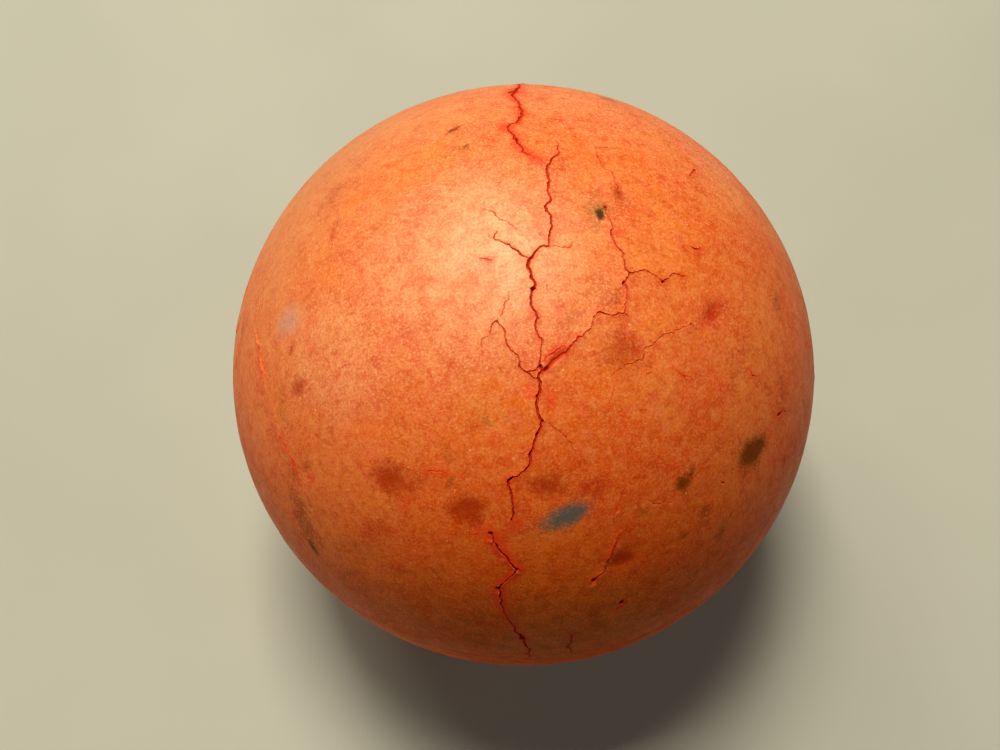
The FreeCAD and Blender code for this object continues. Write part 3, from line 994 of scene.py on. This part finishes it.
def add_piece(name, points, faces, tones, material, node, slot):
    """A smooth-shaded mesh, in metres, that stands for a CAD node."""
    sharp_angle = math.radians(48)
    mesh = bpy.data.meshes.new(name)
    mesh.from_pydata((points * MM).tolist(), [], faces)
    mesh.validate()
    for kind, values in tones.items():
        attribute = mesh.attributes.new(kind, "FLOAT", "POINT")
        attribute.data.foreach_set("value", values.astype(np.float32))
    mesh.shade_smooth()
    mesh.set_sharp_from_angle(angle=sharp_angle)
    mesh.materials.append(material)
    piece = add_object(name, mesh)
    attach(piece, "root")
    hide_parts(node)


def add_casing(material):
    points, triangles, tones = outer_surface()
    for side, name in ((1, "casing_upper_half"), (-1, "casing_lower_half")):
        shell = half_shell(side, points, triangles, tones)
        add_piece(f"{name}_worn", *shell, material, name, "casing")


def add_core(material):
    """The core's lumpy cork-and-rubber ball, which stays inside its CAD radius."""
    edge = 1.3
    valley = 0.28
    flat_from = 0.9
    clearance = 0.01
    points, triangles = refined_sphere(CORE_RADIUS, lambda middles: np.full(len(middles), edge))
    lumps = np.abs(smooth_noise(points, 2.4, 81)) + np.abs(smooth_noise(points, 1.2, 82)) * 0.5
    lift = -valley * np.clip(flat_from - lumps, 0, None) - clearance
    points = points + unit(points) * lift[:, None]
    add_piece("core_granules", points, triangles.tolist(), {}, material, "core", "core")


# ---------------------------------------------------------------- materials


class Graph:
    """A material's nodes, with one short call for each kind that is used."""

    def __init__(self, name):
        self.material = bpy.data.materials.new(name)
        self.material.use_nodes = True
        self.tree = self.material.node_tree
        self.tree.nodes.clear()
        place = self.tree.nodes.new("ShaderNodeTexCoord")
        self.place = place.outputs["Object"]

    def feed(self, socket, value):
        if isinstance(value, bpy.types.NodeSocket):
            self.tree.links.new(value, socket)
        else:
            socket.default_value = value

    def node(self, kind, **inputs):
        """A new node with values or links on its inputs, where _ in a name stands for a space."""
        node = self.tree.nodes.new(kind)
        for name, value in inputs.items():
            self.feed(node.inputs[name.replace("_", " ")], value)
        return node

    def tone(self, name):
        """One of the tones that are stored at the mesh's points."""
        node = self.node("ShaderNodeAttribute")
        node.attribute_name = name
        return node.outputs["Fac"]

    def noise(self, size, detail=3.0, roughness=0.55, distortion=0.0):
        """Noise from 0 to 1 with lumps of the given size in mm."""
        node = self.node(
            "ShaderNodeTexNoise", Vector=self.place, Scale=1 / (size * MM), Detail=detail,
            Roughness=roughness, Distortion=distortion,
        )
        return node.outputs["Fac"]

    def grains(self, size):
        """A random value from 0 to 1 in each grain of the given size in mm."""
        node = self.node("ShaderNodeTexVoronoi", Vector=self.place, Scale=1 / (size * MM))
        split = self.node("ShaderNodeSeparateColor", Color=node.outputs["Color"])
        return split.outputs["Red"]

    def remap(self, value, low, high, to_low=0.0, to_high=1.0):
        """A smooth step from to_low at low to to_high at high."""
        node = self.node("ShaderNodeMapRange", Value=value, From_Min=low, From_Max=high)
        node.interpolation_type = "SMOOTHSTEP"
        node.inputs["To Min"].default_value = to_low
        node.inputs["To Max"].default_value = to_high
        return node.outputs["Result"]

    def sum(self, first, second, operation="ADD"):
        """One arithmetic operation on two values."""
        node = self.tree.nodes.new("ShaderNodeMath")
        node.operation = operation
        self.feed(node.inputs[0], first)
        self.feed(node.inputs[1], second)
        return node.outputs["Value"]

    def times(self, first, second):
        return self.sum(first, second, "MULTIPLY")

    def blend(self, share, below, above, mode="MIX"):
        """One colour laid over another, by the given share."""
        node = self.tree.nodes.new("ShaderNodeMix")
        node.data_type = "RGBA"
        node.blend_type = mode
        self.feed(node.inputs["Factor"], share)
        self.feed(node.inputs[6], below)
        self.feed(node.inputs[7], above)
        return node.outputs[2]

    def broken(self, name, noise, spread, low, high):
        """A tone with its edge broken up by noise."""
        centred = self.sum(noise, 0.5, "SUBTRACT")
        pushed = self.sum(self.tone(name), self.times(centred, spread))
        return self.remap(pushed, low, high)

    def finish(self, colour, roughness, height, bump_mm, **shader):
        """Sets up the shader, with the height as bump of the given depth."""
        bump = self.node("ShaderNodeBump", Distance=bump_mm * MM, Height=height)
        surface = self.node(
            "ShaderNodeBsdfPrincipled", Base_Color=colour, Roughness=roughness,
            Normal=bump.outputs["Normal"], **shader,
        )
        self.node("ShaderNodeOutputMaterial", Surface=surface.outputs["BSDF"])
        return self.material


def rgb(red, green, blue):
    """An opaque colour."""
    return (red, green, blue, 1.0)


def casing_material():
    """Weathered orange-red moulding compound, fresh and rich red where it is broken open, with painted
    highlight and sheen where the light falls and painted shade towards the bottom.
    """
    graph = Graph("weathered_compound")
    orange = rgb(0.63, 0.105, 0.01)
    peach = rgb(0.67, 0.17, 0.026)
    fade_and_highlight_colour = rgb(0.72, 0.29, 0.11)
    red = rgb(0.6, 0.05, 0.003)
    ochre = rgb(0.55, 0.1, 0.008)
    rust = rgb(0.5, 0.05, 0.002)
    tan = rgb(0.7, 0.23, 0.06)
    pink = rgb(0.74, 0.165, 0.07)

    cloudy = graph.noise(17, 3)
    mottle = graph.noise(5.2, 5, 0.62, 0.5)
    earthy = graph.noise(3.6, 5, 0.66, 0.3)
    blotch = graph.noise(2.0, 4, 0.7)
    rusty = graph.noise(0.95, 4, 0.72, 0.4)
    tanned = graph.noise(1.35, 4, 0.74, 0.5)
    pinkish = graph.noise(1.8, 4, 0.74, 0.5)
    grit = graph.noise(0.34, 2, 0.7)
    # Sun bleaching, and on the worn face painted highlight and sheen too.
    faded = graph.sum(graph.tone("faded"), graph.times(graph.sum(mottle, 0.5, "SUBTRACT"), 0.8))
    faded = graph.remap(faded, 0.1, 1)
    colour = graph.blend(graph.remap(cloudy, 0.36, 0.66), orange, peach)
    colour = graph.blend(graph.times(faded, 0.9), colour, fade_and_highlight_colour)
    # Each noise, where its colour starts and is full, how much of it covers, and the colour.
    for noise, start, full, share, tint in (
        (mottle, 0.45, 0.68, 0.7, red),
        (earthy, 0.48, 0.68, 0.65, ochre),
        (blotch, 0.47, 0.7, 0.75, rust),
        (tanned, 0.42, 0.7, 0.65, tan),
        (pinkish, 0.48, 0.72, 0.55, pink),
        (rusty, 0.48, 0.7, 0.5, rust),
        (grit, 0.5, 0.7, 0.4, rgb(0.5, 0.035, 0.001)),
    ):
        colour = graph.blend(graph.remap(noise, start, full, 0, share), colour, tint)
    glint = graph.blend(graph.remap(faded, 0, 0.6), rgb(0.8, 0.3, 0.08), rgb(0.84, 0.42, 0.22))
    colour = graph.blend(graph.remap(grit, 0.3, 0.5, 0.42, 0), colour, glint)
    speck = graph.remap(graph.noise(0.8, 2, 0.8), 0.69, 0.75, 0, 0.6)
    colour = graph.blend(speck, colour, rgb(0.9, 0.5, 0.22))
    # Painted shade: darker, more saturated and less shiny towards the bottom.
    deep = graph.remap(graph.tone("deep"), 0, 1)
    colour = graph.blend(deep, colour, rgb(0.88, 0.5, 0.07), "MULTIPLY")
    # Painted sheen: a greyer tone at the upper-left edge.
    dusty = graph.times(graph.tone("dusty"), 0.4)
    colour = graph.blend(dusty, colour, rgb(0.4, 0.22, 0.085))

    ragged = graph.sum(graph.times(blotch, 0.5), graph.times(grit, 0.5))
    uneven = graph.sum(graph.times(mottle, 0.55), graph.times(ragged, 0.45))
    covers = {}
    # The pale tone holds pale scuffs and also the painted highlight along one lip of each crack.
    # Each stain, the noise that breaks its edge, how far it does so, the level where it is full,
    # how much of it covers, and its colour.
    for kind, noise, spread, full, share, tint in (
        ("halo", ragged, 1.1, 0.85, 0.75, rgb(0.62, 0.026, 0.004)),
        ("bruise", uneven, 1.7, 0.85, 0.75, rgb(0.3, 0.018, 0.001)),
        ("brown", ragged, 1.1, 0.85, 0.88, rgb(0.11, 0.02, 0.0006)),
        ("olive", ragged, 1.1, 0.85, 0.65, rgb(0.16, 0.075, 0.006)),
        ("chalk", ragged, 1.1, 0.85, 0.38, rgb(0.34, 0.28, 0.22)),
        ("blue", ragged, 1.4, 0.95, 0.85, rgb(0.028, 0.082, 0.07)),
        ("soot", ragged, 1.1, 0.85, 0.95, rgb(0.028, 0.021, 0.003)),
        ("pale", ragged, 1.1, 0.85, 0.55, rgb(0.84, 0.19, 0.07)),
    ):
        covers[kind] = graph.broken(kind, noise, spread, 0.12, full)
        colour = graph.blend(graph.times(covers[kind], share), colour, tint)
    fresh = graph.broken("fresh", grit, 0.3, 0.05, 0.95)
    colour = graph.blend(fresh, colour, rgb(0.5, 0.034, 0.006))

    grains = graph.sum(graph.times(rusty, 0.5), graph.times(grit, 0.5))
    height = graph.sum(graph.times(mottle, 0.3), graph.times(grains, 0.7))
    roughness = graph.remap(mottle, 0.3, 0.7, 0.42, 0.58)
    unbroken = graph.remap(graph.tone("fresh"), 0.1, 0.6, 1, 0)
    marked = graph.sum(graph.sum(covers["brown"], covers["soot"]), covers["bruise"])
    dull = graph.times(graph.remap(deep, 0, 1, 1, 0.2), graph.remap(marked, 0, 1, 1, 0.2))
    shine = graph.times(graph.times(unbroken, dull), graph.remap(faded, 0, 1, 0.16, 0.55))
    return graph.finish(
        colour, roughness, height, 0.11,
        Specular_IOR_Level=shine, Specular_Tint=rgb(1, 0.85, 0.6),
    )


def core_material():
    """Granulated cork bound in dark rubber."""
    graph = Graph("cork_rubber_composition")
    grain = graph.grains(1.6)
    fine = graph.noise(0.5, 3)
    colour = graph.blend(graph.remap(grain, 0.3, 0.8), rgb(0.16, 0.08, 0.035), rgb(0.42, 0.24, 0.11))
    colour = graph.blend(graph.remap(fine, 0.5, 0.75, 0, 0.6), colour, rgb(0.05, 0.03, 0.02))
    height = graph.sum(graph.times(grain, 0.5), graph.times(fine, 0.5))
    return graph.finish(colour, graph.remap(fine, 0.3, 0.7, 0.75, 0.9), height, 0.2)


def floor_material():
    """Plain, pale and matte."""
    graph = Graph("plain_floor")
    cloud = graph.noise(60, 2)
    darker = rgb(0.355, 0.345, 0.265)
    lighter = rgb(0.375, 0.363, 0.28)
    colour = graph.blend(graph.remap(cloud, 0.3, 0.7), darker, lighter)
    return graph.finish(colour, 0.9, cloud, 0.05)


# ---------------------------------------------------------------- the set


def add_floor():
    """A wide disc at the ball's lowest point."""
    radius = 6
    corners = 64
    lowest = CAD_BOUNDS[0][2]
    turns = [2 * math.pi * corner / corners for corner in range(corners)]
    rim = [(radius * math.cos(turn), radius * math.sin(turn), lowest) for turn in turns]
    mesh = bpy.data.meshes.new("floor")
    mesh.from_pydata(rim, [], [tuple(range(corners))])
    mesh.materials.append(floor_material())
    floor = add_object("floor", mesh)


def add_camera():
    """Looks down on the worn face from close by, with the ball a little right of the middle."""
    distance = 203.4
    turn = math.radians(1.02)
    out, right, up = (Vector(axis) for axis in face_axes(WORN))
    back = out * math.cos(turn) + right * math.sin(turn)
    across = right * math.cos(turn) - out * math.sin(turn)
    data = bpy.data.cameras.new("camera")
    data.lens = 45
    data.sensor_width = 36
    data.clip_start = 0.01
    camera = add_object("camera", data)
    axes = Matrix((across, up, back)).transposed()
    camera.matrix_world = Matrix.Translation(out * distance * MM) @ axes.to_4x4()
    bpy.context.scene.camera = camera


def add_area_light(name, direction, distance, size, power, colour):
    """A square soft box that faces the ball."""
    data = bpy.data.lights.new(name, "AREA")
    data.size = size
    data.energy = power
    data.color = colour
    light = add_object(name, data)
    towards = Vector(direction).normalized()
    light.location = towards * distance
    light.rotation_euler = towards.to_track_quat("Z", "Y").to_euler()


def add_lights():
    """Each soft box's direction, its distance and size in metres, its watts and its colour."""
    warm = (1.0, 0.95, 0.86)
    cool = (0.92, 0.97, 1.0)
    add_area_light("key", (-0.08, 0.26, 0.96), 0.9, 0.3, 10.8, warm)
    add_area_light("window", (-0.4, 0.48, 0.78), 0.9, 0.35, 2.7, warm)
    add_area_light("right_fill", (0.85, -0.1, 0.45), 1.6, 0.9, 3.2, cool)
    add_area_light("left_fill", (-0.85, -0.5, 0.27), 1.6, 0.6, 4.6, cool)
    world = bpy.data.worlds.new("studio")
    world.use_nodes = True
    background = world.node_tree.nodes["Background"]
    background.inputs["Color"].default_value = rgb(0.95, 0.97, 1.0)
    background.inputs["Strength"].default_value = 0.02
    bpy.context.scene.world = world
    bpy.context.scene.view_settings.view_transform = "Standard"


add_camera()
add_casing(casing_material())
add_core(core_material())
add_floor()
add_lights()
